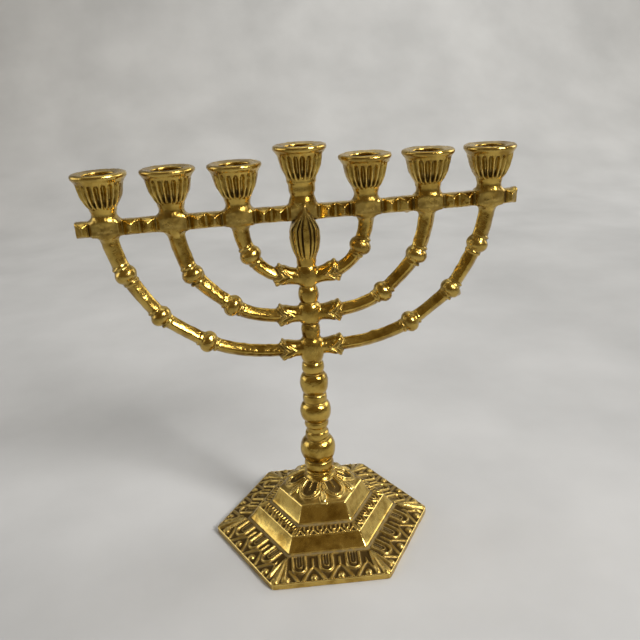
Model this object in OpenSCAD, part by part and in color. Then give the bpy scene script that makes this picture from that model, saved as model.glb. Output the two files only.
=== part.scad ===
// Brass menorah: seven candle cups on a crossbar, three pairs of curved
// branches, a turned stem and a hollow stepped base with six sides.
// Frame: +X along the crossbar, +Y to the back, +Z up, and the origin on the
// table under the middle of the base. Millimetres and degrees.

/* [Base] */
// Radius of the base from its middle to a corner of the rim
rim_r = 38.7; // [37:0.1:41]
// Height of the upright rim
rim_h = 2.2; // [1.8:0.1:2.6]
// Corner radius at the top of the relief skirt, where the lower band starts
skirt_r = 26.8; // [26:0.1:28]
// Height of the top of the relief skirt
skirt_z = 4.65; // [4.2:0.05:5.2]
// Corner radius at the top of the lower band
band_r = 23; // [22:0.1:24]
// Height of the top of the lower band
band_z = 9.7; // [9:0.1:10.2]
// Corner radius at the foot of the upper band
ledge_r = 18.35; // [17.5:0.05:19]
// Height of the foot of the upper band
ledge_z = 10.8; // [10.5:0.1:11.4]
// Corner radius at the top of the upper band
crown_r = 15; // [14.4:0.1:15.6]
// Height of the top of the upper band
crown_z = 16.5; // [16:0.1:17]
// Thickness of the base casting
base_wall = 1.8; // [1.6:0.1:2.2]
// Turn of the base under the plane of the branches
base_turn = -3.2; // [-30:0.1:30]

/* [Stem] */
// Height of the seat where the stem stands on the base
seat_z = 20.5; // [20:0.1:20.8]
// Radius of the stem's widest knop
knop_r = 6.1; // [5.6:0.1:6.6]
// Radius of the bud's belly
bud_r = 4.95; // [4.6:0.05:5.3]

/* [Branches] */
// Distance between neighbouring cups
cup_pitch = 20; // [19.5:0.1:20.5]
// Height at which the outer branches leave the stem
outer_z = 70; // [69.5:0.1:70.5]
// Height at which the middle branches leave the stem
middle_z = 82.2; // [81.8:0.1:82.6]
// Height at which the inner branches leave the stem
inner_z = 95; // [94.6:0.1:95.4]
// Radius of the branches' round beads
bead_r = 3.55; // [3.3:0.05:3.7]

/* [Crossbar and cups] */
// Height of the crossbar's underside
bar_z = 113; // [112.5:0.1:113.5]
// Height of the crossbar's section
bar_h = 4.8; // [4.4:0.1:5.2]
// Depth of the crossbar's section, front to back
bar_d = 4.8; // [4.4:0.1:5.2]
// Length of the bar beyond the outer cups' middle
bar_end = 9; // [8.5:0.1:10]
// Radius of a cup's rim
cup_r = 8.06; // [7.8:0.02:8.4]
// Height of a side cup above the crossbar
cup_h = 14.3; // [14:0.1:14.6]
// How much taller the centre cup's neck is
centre_lift = 4.1; // [3.6:0.1:4.6]
// Diameter of the hole for the candle
candle_d = 9.6; // [9:0.1:10]
// Depth of the hole for the candle, which leaves a floor in the cup
candle_depth = 7.5; // [6.5:0.1:7.6]

/* [Fixing] */
// Diameter of the stud in the stem's foot
stud_d = 4.9; // [4.6:0.1:5]
// Running clearance around the stud, on the radius
stud_gap = 0.05; // [0.02:0.01:0.1]
// Width of the nut across its flats
nut_flats = 8; // [7.5:0.1:8.5]
// Thickness of the nut
nut_h = 4; // [3.2:0.1:4.4]
// Diameter of the washer
washer_d = 10; // [9:0.1:11]
// Thickness of the washer
washer_t = 1; // [0.8:0.1:1.2]
// How far the nut runs down before it leaves the stud
nut_travel = 3.2; // [2.4:0.1:3.2]
// Slack under the base's crown, which lets the stem turn
slack = 0.1; // [0.05:0.05:0.3]

/* [Hidden] */

$fn = 64;
brass = "#b58a32";
worn_brass = "#c8a24a";
dark_brass = "#8f6a22";
steel = "#a8a8a4";

// The base's side profile: distance from the axis to a side, and height
flat_ratio = cos(30);
base_outline = [
    [rim_r * flat_ratio, rim_h],
    [skirt_r * flat_ratio, skirt_z],
    [band_r * flat_ratio, band_z],
    [ledge_r * flat_ratio, ledge_z],
    [crown_r * flat_ratio, crown_z]
];
// Moving the profile in and down by this much leaves an even wall
wall_shift = 0.75 * base_wall;
roof_z = crown_z - wall_shift;
collar_r = 5.2;

// The stem's turned outline, bead by bead: bottom, top, waist and belly radius
stem_beads = [
    [seat_z, 24.4, 4.5, 5.4],
    [24.4, 27.2, 4.3, 4.9],
    [27.2, 36.2, 3.7, knop_r],
    [36.2, 39.2, 3.3, 3.9],
    [39.2, 40.6, 3.2, 3.4],
    [40.6, 43, 3.4, 4.1],
    [43, 50.4, 3.6, 5.25],
    [50.4, 53.8, 3.5, 4],
    [53.8, 61.2, 3.4, 4.6],
    [61.2, outer_z - 4, 3, 3.65],
    [outer_z - 4, outer_z + 3.8, 2.9, 4.1],
    [outer_z + 3.8, middle_z - 3.8, 2.6, 3],
    [middle_z - 3.8, middle_z + 4, 2.8, 3.9],
    [middle_z + 4, inner_z - 3.8, 2.6, 3],
    [inner_z - 3.8, inner_z + 3.6, 2.7, 3.6],
    [inner_z + 3.6, inner_z + 4.8, 3, 3.3]
];
stem_top = inner_z + 4.8;
// Half the width across the stem's flats, on which the branches are seated
branch_seat = 3.1;
// Depth of the stud's hole in the stem
socket_z = 28;
washer_top = roof_z - slack;
stud_end_z = washer_top - washer_t - nut_h - nut_travel;
stud_hole_r = stud_d / 2 + stud_gap;

// Each branch: x and z of its beads, the heading in degrees at which the rod
// leaves each one, and the rod's radius there. The first row is the calyx.
outer_path = [
    [10, outer_z, 0, 2.3],
    [33.7, 75.5, 33, 2.3],
    [47.6, 85.8, 55, 2.4],
    [56.45, 100.4, 68, 2.6]
];
middle_path = [
    [10, middle_z, 2, 2.3],
    [24.6, 87, 39, 2.3],
    [36.05, 98.6, 68, 2.5]
];
inner_path = [
    [10, inner_z + 1, 22, 2.2],
    [17.55, 103.1, 66, 2.3]
];
calyx_r = 3.8;
root_r = 2.7;

bar_top = bar_z + bar_h;
block_w = 9.6;
block_d = 6;
stud_w = 4.6;
stud_off = 2.55;

// Rounded bulge from one waist to the next, as points of a turned outline
function bead_points(b, steps = 8) = [
    for (i = [0:steps])
        let (t = 180 * i / steps)
            [b[2] + (b[3] - b[2]) * sin(t), b[0] + (b[1] - b[0]) * (1 - cos(t)) / 2]
];

// Solid of a turned outline that runs upwards from bottom to top
module turned(points) {
    last = len(points) - 1;
    rotate_extrude()
        polygon(concat([[0, points[0][1]]], points, [[0, points[last][1]]]));
}

// Six-sided stack with the given side profile, from z = bottom upwards
module hex_stack(outline, bottom) {
    last = len(outline) - 1;
    right = concat([[outline[0][0], bottom]], outline);
    left = [for (i = [last + 1:-1:0]) [-right[i][0], right[i][1]]];
    intersection_for (turn = [30, 90, 150])
        rotate([0, 0, turn])
            rotate([90, 0, 0])
                linear_extrude(height = 3 * rim_r, center = true)
                    polygon(concat(right, left));
}

// Round rod along the arc that leaves p at a heading and ends at q, in the XZ plane
module arc_rod(p, q, heading, r) {
    chord = [q[0] - p[0], q[1] - p[1]];
    half_turn = atan2(chord[1], chord[0]) - heading;
    bend_r = norm(chord) / (2 * sin(half_turn));
    translate([p[0] - bend_r * sin(heading), 0, p[1] + bend_r * cos(heading)])
        rotate([90, 0, 0])
            rotate([0, 0, heading - 90])
                rotate_extrude(angle = 2 * half_turn)
                    translate([bend_r, 0])
                        circle(r = r);
}

// Bead with a low ring on each side, threaded on the rod at a heading
module branch_bead(p, heading) {
    ring_l = 6.4;
    translate([p[0], 0, p[1]])
        rotate([0, 90 - heading, 0]) {
            sphere(r = bead_r);
            cylinder(h = ring_l, r = 0.8 * bead_r, center = true);
        }
}

// One branch on the +X side, from the stem's flat to the crossbar's underside
module branch(path, top_x) {
    last = len(path) - 1;
    above = 1.2;
    root = [branch_seat, path[0][1] - tan(path[0][2]) * (path[0][0] - branch_seat)];
    calyx_l = norm([path[0][0], path[0][1]] - root);
    color(brass)
        difference() {
            union() {
                translate([root[0], 0, root[1]])
                    rotate([0, 90 - path[0][2], 0])
                        cylinder(h = calyx_l, r1 = root_r, r2 = calyx_r);
                for (i = [0:last]) {
                    p = [path[i][0], path[i][1]];
                    q = i < last ? [path[i + 1][0], path[i + 1][1]] : [top_x, bar_z + above];
                    arc_rod(p, q, path[i][2], path[i][3]);
                    if (i > 0)
                        branch_bead(p, path[i][2]);
                }
            }
            translate([0, -cup_pitch / 2, bar_z])
                cube([4 * cup_pitch, cup_pitch, cup_pitch]);
            translate([branch_seat - cup_pitch, -cup_pitch / 2, 0])
                cube([cup_pitch, cup_pitch, bar_z]);
        }
}

// One candle cup standing on the crossbar, with an extra length of neck
module candle_cup(x, lift = 0) {
    rim_z = cup_h + lift;
    neck = lift > 0 ? [[5, 0], [3.6, 3.2], [4.1, 4.4], [4.1, 6.2]] : [[4.5, 0]];
    shell = [
        [3.8, 1.5 + lift], [3.8, 3.2 + lift], [4.6, 5 + lift], [5.9, 7.4 + lift],
        [6.6, 10 + lift], [7, 12 + lift], [cup_r, rim_z - 1], [cup_r, rim_z]
    ];
    color(worn_brass)
        translate([x, 0, bar_top])
            difference() {
                turned(concat(neck, shell));
                translate([0, 0, rim_z - candle_depth])
                    cylinder(h = candle_depth + 1, d = candle_d);
            }
}

// Pyramid stud whose four faces rise from both sides of the bar
module pyramid_stud() {
    half = stud_w / 2;
    tip = block_d / 2 + 0.3;
    foot = 0.35 * bar_d;
    intersection() {
        linear_extrude(height = bar_h)
            polygon([[-half, -foot], [0, -tip], [half, -foot], [half, foot], [0, tip], [-half, foot]]);
        rotate([90, 0, 90])
            linear_extrude(height = stud_w, center = true)
                polygon([[-foot, 0], [-tip, bar_h / 2], [-foot, bar_h], [foot, bar_h], [tip, bar_h / 2], [foot, 0]]);
    }
}

module base_shell() {
    steps = 12;
    dome = [
        for (i = [0:steps])
            let (t = 90 * i / steps)
                [collar_r + (crown_r * flat_ratio - collar_r) * cos(t), crown_z + (seat_z - 1.7 - crown_z) * sin(t)]
    ];
    hollow = [for (p = base_outline) [p[0] - wall_shift, p[1] - wall_shift]];
    color(dark_brass)
        rotate([0, 0, base_turn])
            difference() {
                union() {
                    hex_stack(base_outline, 0);
                    turned(dome);
                    cylinder(h = seat_z, r = collar_r);
                }
                hex_stack(hollow, -1);
                cylinder(h = seat_z + 1, r = stud_hole_r);
            }
}

module stem() {
    outline = [for (b = stem_beads) for (p = bead_points(b)) p];
    color(brass)
        difference() {
            turned(outline);
            for (z = [outer_z, middle_z, inner_z])
                for (side = [-1, 1])
                    translate([side * (branch_seat + 5) - 5, -5, z - 3.8])
                        cube([10, 10, 7.6]);
            translate([0, 0, seat_z - 1])
                cylinder(h = socket_z - seat_z + 1, r = stud_hole_r);
        }
}

module stem_bud() {
    color(brass)
        turned(bead_points([stem_top, bar_z, 3.1, bud_r], 14));
}

module crossbar() {
    half = bar_d / 2;
    bevel = 0.9;
    length = 2 * (3 * cup_pitch + bar_end);
    color(brass) {
        translate([-length / 2, 0, bar_z])
            rotate([90, 0, 90])
                linear_extrude(height = length)
                    polygon([
                        [-half, bevel], [bevel - half, 0], [half - bevel, 0], [half, bevel],
                        [half, bar_h - bevel], [half - bevel, bar_h], [bevel - half, bar_h], [-half, bar_h - bevel]
                    ]);
        for (i = [-3:3])
            translate([i * cup_pitch - block_w / 2, -block_d / 2, bar_z])
                cube([block_w, block_d, bar_h]);
        for (i = [-3:2])
            for (side = [-1, 1])
                translate([(i + 0.5) * cup_pitch + side * stud_off, 0, bar_z])
                    pyramid_stud();
        for (side = [-1, 1])
            translate([side * (3 * cup_pitch + bar_end - stud_w / 2), 0, bar_z])
                pyramid_stud();
    }
}

module branch_outer_right() { branch(outer_path, 3 * cup_pitch); }
module branch_middle_right() { branch(middle_path, 2 * cup_pitch); }
module branch_inner_right() { branch(inner_path, cup_pitch); }
module branch_outer_left() { mirror([1, 0, 0]) branch_outer_right(); }
module branch_middle_left() { mirror([1, 0, 0]) branch_middle_right(); }
module branch_inner_left() { mirror([1, 0, 0]) branch_inner_right(); }

module threaded_stud() {
    color(worn_brass)
        translate([0, 0, stud_end_z])
            cylinder(h = socket_z - stud_end_z, d = stud_d);
}

module washer() {
    color(steel)
        translate([0, 0, washer_top - washer_t])
            difference() {
                cylinder(h = washer_t, d = washer_d);
                translate([0, 0, -1])
                    cylinder(h = washer_t + 2, r = stud_hole_r);
            }
}

module hex_nut() {
    color(worn_brass)
        translate([0, 0, washer_top - washer_t - nut_h])
            difference() {
                cylinder(h = nut_h, r = nut_flats / 2 / flat_ratio, $fn = 6);
                translate([0, 0, -1])
                    cylinder(h = nut_h + 2, r = stud_hole_r);
            }
}

base_shell();
stem();
stem_bud();
crossbar();
branch_outer_left();
branch_middle_left();
branch_inner_left();
branch_inner_right();
branch_middle_right();
branch_outer_right();
candle_cup(-3 * cup_pitch);  // candle_cup_outer_left
candle_cup(-2 * cup_pitch);  // candle_cup_middle_left
candle_cup(-cup_pitch);  // candle_cup_inner_left
candle_cup(0, centre_lift);  // candle_cup_centre
candle_cup(cup_pitch);  // candle_cup_inner_right
candle_cup(2 * cup_pitch);  // candle_cup_middle_right
candle_cup(3 * cup_pitch);  // candle_cup_outer_right
threaded_stud();
washer();
hex_nut();
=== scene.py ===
import math

import bpy
import numpy as np
from mathutils import Matrix, Vector


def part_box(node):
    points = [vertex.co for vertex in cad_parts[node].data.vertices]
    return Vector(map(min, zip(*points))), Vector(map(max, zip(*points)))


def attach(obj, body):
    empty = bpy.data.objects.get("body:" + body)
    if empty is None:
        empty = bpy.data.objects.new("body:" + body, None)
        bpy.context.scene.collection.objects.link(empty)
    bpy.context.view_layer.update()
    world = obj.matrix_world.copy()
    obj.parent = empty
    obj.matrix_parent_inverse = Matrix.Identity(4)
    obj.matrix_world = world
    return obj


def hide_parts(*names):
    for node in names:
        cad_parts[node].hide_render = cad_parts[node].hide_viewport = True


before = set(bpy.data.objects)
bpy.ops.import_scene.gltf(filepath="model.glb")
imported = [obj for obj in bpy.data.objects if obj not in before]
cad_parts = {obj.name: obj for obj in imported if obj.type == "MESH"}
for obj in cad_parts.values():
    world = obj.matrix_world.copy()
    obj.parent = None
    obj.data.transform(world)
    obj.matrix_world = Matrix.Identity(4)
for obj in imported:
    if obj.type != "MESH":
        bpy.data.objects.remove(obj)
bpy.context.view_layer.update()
MM = 0.001


# ---------------------------------------------------------------- sizes, mm
def node_box(name):
    lo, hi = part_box(name)
    return np.array(lo) / MM, np.array(hi) / MM


cup_lo, cup_hi = node_box("candle_cup_outer_right")
in_lo, in_hi = node_box("candle_cup_inner_right")
bar_lo, bar_hi = node_box("crossbar")
stem_lo, stem_hi = node_box("stem")
stud_lo, stud_hi = node_box("threaded_stud")
washer_lo, washer_hi = node_box("washer")
nut_lo, nut_hi = node_box("hex_nut")

PITCH = (in_lo[0] + in_hi[0]) / 2
CUP_R = (cup_hi[0] - cup_lo[0]) / 2
CUP_H = cup_hi[2] - cup_lo[2]
LIFT = node_box("candle_cup_centre")[1][2] - cup_hi[2]
BAR_Z, BAR_TOP, BAR_END = bar_lo[2], bar_hi[2], bar_hi[0]
SEAT_Z, STEM_TOP, KNOP_R = stem_lo[2], stem_hi[2], stem_hi[0]
BUD_R = node_box("stem_bud")[1][0]
STUD_R, STUD_Z, SOCKET_Z = stud_hi[0], stud_lo[2], stud_hi[2]
STUD_BORE_R = STUD_R + 0.05
BORE_R = 4.8  # the candle's hole in a cup
BORE_DEPTH = 7.5
BEAD_R = 3.55  # the beads on the branches
BRANCH_Z = (70.0, 82.2, 95.0)  # where the outer, middle and inner branches leave the stem
RIM_R = 38.7  # the corners of the base
BASE_TURN = math.radians(-3.2)  # the base stands a little turned against the branches
MESH_STEP = 0.22
FAR = 50.0  # a distance beyond every member, for fields that aren't asked for


# ---------------------------------------------------------------- fields
def smin(a, b, k):
    h = np.clip(0.5 + 0.5 * (b - a) / k, 0, 1)
    return b + (a - b) * h - k * h * (1 - h)


def smax(a, b, k):
    return -smin(-a, -b, k)


def step(a, b, x):
    t = np.clip((x - a) / (b - a), 0, 1)
    return t * t * (3 - 2 * t)


def bell(x, w):
    return np.exp(-(x / w) ** 2)


def hashed(ix, iy, iz, seed):
    h = (ix * 73856093) ^ (iy * 19349663) ^ (iz * 83492791) ^ (seed * 2654435761)
    h = (h & 0xFFFFFFFF).astype(np.uint64)
    h = ((h ^ (h >> 15)) * 2246822519) & 0xFFFFFFFF
    h = ((h ^ (h >> 13)) * 3266489917) & 0xFFFFFFFF
    return ((h ^ (h >> 16)) & 0xFFFFFFFF).astype(float) / 4294967296.0


def noise(p, size, seed):
    """Smooth value noise from -1 to 1 with lumps of about the given size."""
    q = p / size
    i = np.floor(q).astype(np.int64)
    f = q - i
    f = f * f * (3 - 2 * f)
    total = 0
    for dx in (0, 1):
        for dy in (0, 1):
            for dz in (0, 1):
                w = (f[:, 0] if dx else 1 - f[:, 0]) * (f[:, 1] if dy else 1 - f[:, 1])
                w = w * (f[:, 2] if dz else 1 - f[:, 2])
                total = total + w * hashed(i[:, 0] + dx, i[:, 1] + dy, i[:, 2] + dz, seed)
    return 2 * total - 1


class Lathe:
    """A turned outline as a table of radius over height, with its slope for a fair distance."""

    def __init__(self, z0, z1, radius, blur=0.18):
        self.z = np.arange(z0 - 1, z1 + 1, 0.04)
        r = radius(np.clip(self.z, z0, z1))
        n = max(1, int(round(blur / 0.04)))
        kernel = np.hanning(2 * n + 3)[1:-1]
        pad = np.pad(r, n, mode="edge")
        self.r = np.convolve(pad, kernel / kernel.sum(), mode="valid")
        self.fair = 1 / np.sqrt(1 + np.gradient(self.r, self.z) ** 2)

    def __call__(self, rho, z):
        return (rho - np.interp(z, self.z, self.r)) * np.interp(z, self.z, self.fair)


# The stem's turned outline: bottom, top, waist and belly radius of each bead
Z1, Z2, Z3 = BRANCH_Z
FOOT_Z = 22.4
STEM_BEADS = [
    (FOOT_Z, 23.4, 4.75, 5.1), (23.4, 27.5, 4.5, 5.15), (27.5, 35.9, 4.0, KNOP_R),
    (35.9, 38.6, 3.5, 4.1), (38.6, 40.4, 3.35, 3.5), (40.4, 42.8, 3.6, 4.15),
    (42.8, 49.9, 3.7, 5.3), (49.9, 53.1, 3.6, 4.1), (53.1, 60.6, 3.3, 4.8),
    (60.6, 65.1, 2.85, 3.75), (65.1, Z1 + 3.5, 2.9, 4.1), (Z1 + 3.5, Z2 - 3.6, 2.45, 3.1),
    (Z2 - 3.6, Z2 + 3.7, 2.6, 4.0), (Z2 + 3.7, Z3 - 3.6, 2.45, 3.3), (Z3 - 3.6, Z3 + 3.5, 2.6, 3.65),
    (Z3 + 3.5, STEM_TOP + 1, 2.6, 3.1)
]


def stem_radius(z):
    r = 4.6 + 1.0 * np.clip((FOOT_Z - z) / 1.6, 0, 1) ** 1.7
    for z0, z1, waist, belly in STEM_BEADS:
        u = np.clip((z - (z0 + z1) / 2) / ((z1 - z0) / 2), -1, 1)
        inside = (z >= z0) & (z <= z1)
        r = np.where(inside, waist + (belly - waist) * (1 - np.abs(u) ** 2.2) ** 0.62, r)
    for ring_z in (36.2, 38.3, 40.8, 42.4, 50.4, 52.7, 60.2, 65.3, 73.7):
        near = np.interp(ring_z, (36, 53, 61, 75), (4.2, 4.1, 3.6, 3.3))
        r = np.maximum(r, near - 30 * (z - ring_z) ** 2)
    return r


stem_lathe = Lathe(SEAT_Z, STEM_TOP, stem_radius, 0.36)


# The bud: its radius over its height, the half width of its tip over the bar's lower edge, its grooves
BUD_ROWS = [(0, 2.9), (0.1, 3.3), (0.3, 4.4), (0.52, BUD_R), (0.75, 4.9), (0.95, 4.9), (1.12, 4.95),
            (1.3, 4.8)]
TIP_ROWS = [(-4.5, 6), (-2.9, 4.9), (-1.8, 4.3), (-0.6, 3.6), (0.7, 2.65), (2.2, 1.6), (4.4, 0), (14, -8)]
BUD_GROOVES = [math.radians(a) for a in (15, 33, 58, 88)]


def bud_radius(z):
    u = (z - STEM_TOP) / (BAR_Z - STEM_TOP)
    return np.interp(u, *zip(*BUD_ROWS))


bud_lathe = Lathe(STEM_TOP, BAR_Z + 5, bud_radius, 1.1)


def f_stem(x, y, z):
    rho = np.hypot(x, y)
    f = stem_lathe(rho, z)
    f = smax(f, z - (STEM_TOP + 2), 0.3)
    f = smax(f, SEAT_Z - z, 0.2)
    bore = np.maximum(rho - STUD_BORE_R, z - SOCKET_Z)
    return smax(f, -bore, 0.12)


def f_bud(x, y, z):
    rho = np.hypot(x, y)
    rise = z - BAR_Z
    half = np.interp(rise, *zip(*TIP_ROWS))
    width = np.maximum(np.minimum(half, np.interp(z, bud_lathe.z, bud_lathe.r)), 0.05)
    turn = np.arctan2(np.abs(x), np.abs(y))
    flat_turn = np.arcsin(np.clip(np.abs(x) / width, 0, 1))
    turn = turn + (flat_turn - turn) * step(-3.5, -1.5, rise)
    u = np.clip((z - STEM_TOP) / (BAR_Z + 3.4 - STEM_TOP), 0, 1)
    depth = 0.8 * np.sin(math.pi * u) ** 0.55
    cut = 0
    for g in BUD_GROOVES:
        cut = cut + bell((turn - g) * np.minimum(rho, width), 0.27)
    rib = 0.16 * step(0, 0.9, 1.1 - turn)
    f = bud_lathe(rho, z) + depth * (np.minimum(cut, 1) - rib)
    f = smax(f, STEM_TOP - 1.5 - z, 0.3)
    return smax(f, (np.abs(x) - half) * 0.8, 0.7)


# The bar: width of its blocks under the cups, width of its pyramid studs, and their distance from mid gap
BLOCK, STUD_W, STUD_OFF = 9.6, 4.6, 2.55


def f_bar(x, y, z):
    ax = np.abs(x)
    zc, half_h = (BAR_Z + BAR_TOP) / 2, (BAR_TOP - BAR_Z) / 2
    dz = np.abs(z - zc)
    cell = ax - PITCH * np.minimum(np.round(ax / PITCH), 3)
    to_block = BLOCK / 2 - np.abs(cell)
    depth = np.minimum(3.0, 1.9 + 1.25 * to_block)
    depth = np.where(to_block > 0, depth, 1.7) - 0.8 * step(7, 3.5, ax)
    gap = np.abs(np.abs(cell) - PITCH / 2)
    end = ax > 3 * PITCH
    mid = np.where(end, np.abs(ax - (BAR_END - STUD_W / 2)), np.abs(gap - STUD_OFF))
    lean = smax(mid / (STUD_W / 2), (dz / half_h - 0.42) / 0.62, 0.15)
    stud = 1.35 + 2.0 * (1 - np.clip(lean, 0, 1))
    depth = np.where(to_block > 0, depth, stud)
    lower = np.where((z < zc) & (to_block > 0), 0.5, 0.15)
    f = (np.abs(y) - depth) * 0.75
    f = smax(f, dz - half_h, 0.35)
    f = smax(f, (np.abs(y) + dz - depth - half_h + 0.35 + lower) * 0.7, 0.2)
    return smax(f, ax - BAR_END, 0.3)


# Each branch: x and z of its beads, the heading at which the rod leaves each, and its radius
BRANCHES = {
    "outer": [(10, Z1, 0, 2.3), (33.7, 75.5, 33, 2.3), (47.6, 85.8, 55, 2.4),
              (56.45, 100.4, 68, 2.6), (3 * PITCH, BAR_Z + 1.2, 0, 2.7)],
    "middle": [(10, Z2, 2, 2.3), (24.6, 87, 39, 2.3), (36.05, 98.6, 68, 2.5),
               (2 * PITCH, BAR_Z + 1.2, 0, 2.7)],
    "inner": [(10, Z3 + 1, 22, 2.2), (17.55, 103.1, 66, 2.3), (PITCH, BAR_Z + 1.2, 0, 2.6)],
}


def rod(rho, u, v, r):
    return smax(rho - r, (np.abs(u) + np.abs(v)) * 0.7071 - 0.87 * r, 0.7)


def f_branch(path, ax, y, z):
    best = np.full(ax.shape, 1e3)
    for (px, pz, heading, r0), (qx, qz, _, r1) in zip(path, path[1:]):
        h = math.radians(heading)
        half = math.atan2(qz - pz, qx - px) - h
        bend = math.hypot(qx - px, qz - pz) / (2 * math.sin(half))
        cx, cz = px - bend * math.sin(h), pz + bend * math.cos(h)
        dist = np.hypot(ax - cx, z - cz)
        along = (np.arctan2(ax - cx, cz - z) - h) / (2 * half)
        t = np.clip(along, 0, 1)
        over = np.abs(along - t) * 2 * half * bend
        v = bend - dist
        rho = np.hypot(y, v)
        f = rod(rho, y, v, r0 + (r1 - r0) * t)
        best = np.minimum(best, np.hypot(np.maximum(f, 0), np.maximum(over - 0.3, 0)) + np.minimum(f, 0))
    for px, pz, heading, r in path[1:-1]:
        h = math.radians(heading - 6)
        a = (ax - px) * math.cos(h) + (z - pz) * math.sin(h)
        v = (z - pz) * math.cos(h) - (ax - px) * math.sin(h)
        rho = np.hypot(y, v)
        k = ((rho / BEAD_R) ** 2.2 + np.abs(a / 2.65) ** 2.2) ** (1 / 2.2)
        best = smin(best, (k - 1) * 2.9, 0.7)
        ring = np.hypot(rho - r + 0.26, np.abs(a) - 2.95) - 0.35
        best = smin(best, ring, 0.5)
    # the calyx: a collar on the stem whose end is notched like two leaves
    px, pz, heading, r = path[0]
    h = math.radians(0.5 * heading)
    root = pz - math.tan(h) * (px - 3.1)
    t = 3.1 + (ax - 3.1) * math.cos(h) + (z - root) * math.sin(h)
    v = (z - root) * math.cos(h) - (ax - 3.1) * math.sin(h)
    rho = np.hypot(y, v) + 1e-6
    lift = np.abs(v) / rho
    rod_f = smax(rod(rho, y, v, r), np.maximum(t - px, 0) * 0.9, 0.1)
    edge = 5.9 + 4.3 * (1 - (1 - lift) ** 1.5)
    flare = 2.6 + 1.0 * step(4.0, 9.6, t) + 0.26 * bell(edge - t - 0.5, 0.5)
    flare = flare - 0.2 * bell(edge - t - 1.6, 0.5)
    collar = smax(rho - flare, (t - edge) * 0.7, 0.5)
    edge2 = 8.6 + 2.2 * lift
    sleeve = smax(rho - 2.7 - 0.22 * bell(edge2 - t - 0.5, 0.5), (t - edge2) * 0.6, 0.5)
    calyx = smin(smin(collar, sleeve, 0.25), rod_f, 0.3)
    calyx = smax(calyx, 1.0 - ax, 0.2)
    return smin(best, calyx, 0.15)


# The cups' outlines as (height over the bar, radius): the side cups, and the foot of the centre cup
SIDE_SHELL = [(-3, 3.3), (-1, 3.9), (0, 4.3), (1.5, 3.8), (3.2, 3.85), (5, 4.9), (7.4, 6.15), (10, 6.75),
              (12, 7.1)]
CENTRE_FOOT = [(-3, 3), (-1.2, 3.4), (0, 4.2), (1.4, 4.2), (3.2, 3.6), (4.4, 4.1), (6.2, 4.15)]


def cup_profile(lift):
    """A cup's turned outline; lift is how much higher than a side cup it stands."""
    rows = [(z + lift * (z > 0), r) for z, r in SIDE_SHELL]
    if lift:
        rows = CENTRE_FOOT + rows[5:]
    rows = rows + [(CUP_H + lift + 1, 7.3)]
    zs, rs = zip(*rows)
    return Lathe(-3.0, CUP_H + lift + 1, lambda z: np.interp(z, zs, rs), 0.7)


# The lip as (height over the rim, radius)
LIP_ROWS = [(-3.4, 6.85), (-2.9, 7.1), (-2.1, 7.6), (-1.4, CUP_R + 0.1), (-0.8, CUP_R + 0.22),
            (-0.35, CUP_R), (0, 7.5)]
cup_lathes = {0.0: cup_profile(0.0), LIFT: cup_profile(LIFT)}
FLUTE = math.radians(17)  # from one flute to the next


def f_cup(dx, y, z, lift):
    """One candle cup; dx is the distance from its axis."""
    top = CUP_H + lift
    h = z - BAR_TOP
    rho = np.hypot(dx, y)
    f = cup_lathes[lift](rho, h)
    turn = np.arctan2(dx, np.abs(y))
    u = turn / FLUTE - np.round(turn / FLUTE)
    k = h - lift
    window = step(70, 58, np.degrees(np.abs(turn)))
    arch, foot = 12.0 - 2.0 * (2 * u) ** 2, 3.6 + 1.6 * (2 * u) ** 2
    groove = (0.5 + 0.5 * np.cos(2 * math.pi * u)) ** 0.75
    flute = step(foot, foot + 2.2, k) * step(arch, arch - 1.0, k) * groove
    f = f + window * (1.1 * flute - 0.3 * step(3.4, 5, k) * step(12.6, 11.4, k))
    f = f - 0.2 * bell(k - 3.1, 0.5)
    # the lip: a flare that rolls over the rim
    lip = (rho - np.interp(h - top, *zip(*LIP_ROWS))) * 0.8
    lip = smax(lip, top - 3.1 - h, 0.25)
    f = smin(f, lip, 0.2)
    f = smax(f, h - top + 0.22 * np.clip(7.3 - rho, 0, 2.5), 0.4)
    bore = np.maximum(rho - BORE_R - 0.5 * step(0.9, 0, top - h) ** 2, top - BORE_DEPTH - h)
    f = smax(f, -bore, 0.25)
    return smax(f, -h - 2.5, 0.3)


def whole(x, y, z, use):
    """The candelabrum casting as one field in mm, negative inside; use names the members that count."""
    ax = np.abs(x)
    f = np.full(x.shape, FAR)
    if "stem" in use:
        f = f_stem(x, y, z)
    if "bud" in use:
        f = smin(f, f_bud(x, y, z), 0.25)
    high = f_bar(x, y, z) if "bar" in use else np.full(x.shape, FAR)
    arms = np.full(x.shape, FAR)
    for name, path in BRANCHES.items():
        if name in use:
            arms = np.minimum(arms, f_branch(path, ax, y, z))
    f = smin(f, smin(high, arms, 2.3), 0.35)
    if "side" in use:
        cell = ax - PITCH * np.minimum(np.round(ax / PITCH), 3)
        cups = f_cup(cell, y, z, 0.0)
        if "centre" in use:
            cups = np.where(ax < PITCH / 2, f_cup(x, y, z, LIFT), cups)
        f = smin(f, cups, 1.3)
    elif "centre" in use:
        f = smin(f, f_cup(x, y, z, LIFT), 1.3)
    return f


def dip(q):
    """Sinks a member's end under its neighbour, past the seam at q = 0."""
    return 0.83 * np.maximum(q, 0) ** 2


# Heights at which the members meet: cup on bar, branch under bar, bud under bar
CUP_SEAM, BRANCH_SEAM, BUD_SEAM = BAR_TOP + 0.9, BAR_Z - 1.5, BAR_Z - 1.2
MOST_DIP = 40


def branch_member(name):
    use = ("stem", "bar", name)

    def field(x, y, z):
        q = f_branch(BRANCHES[name], np.abs(x), y, z) - f_stem(x, y, z)
        f = whole(x, y, z, use)
        return f + np.minimum(dip(q), MOST_DIP) + dip(z - BRANCH_SEAM)
    return field


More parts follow.
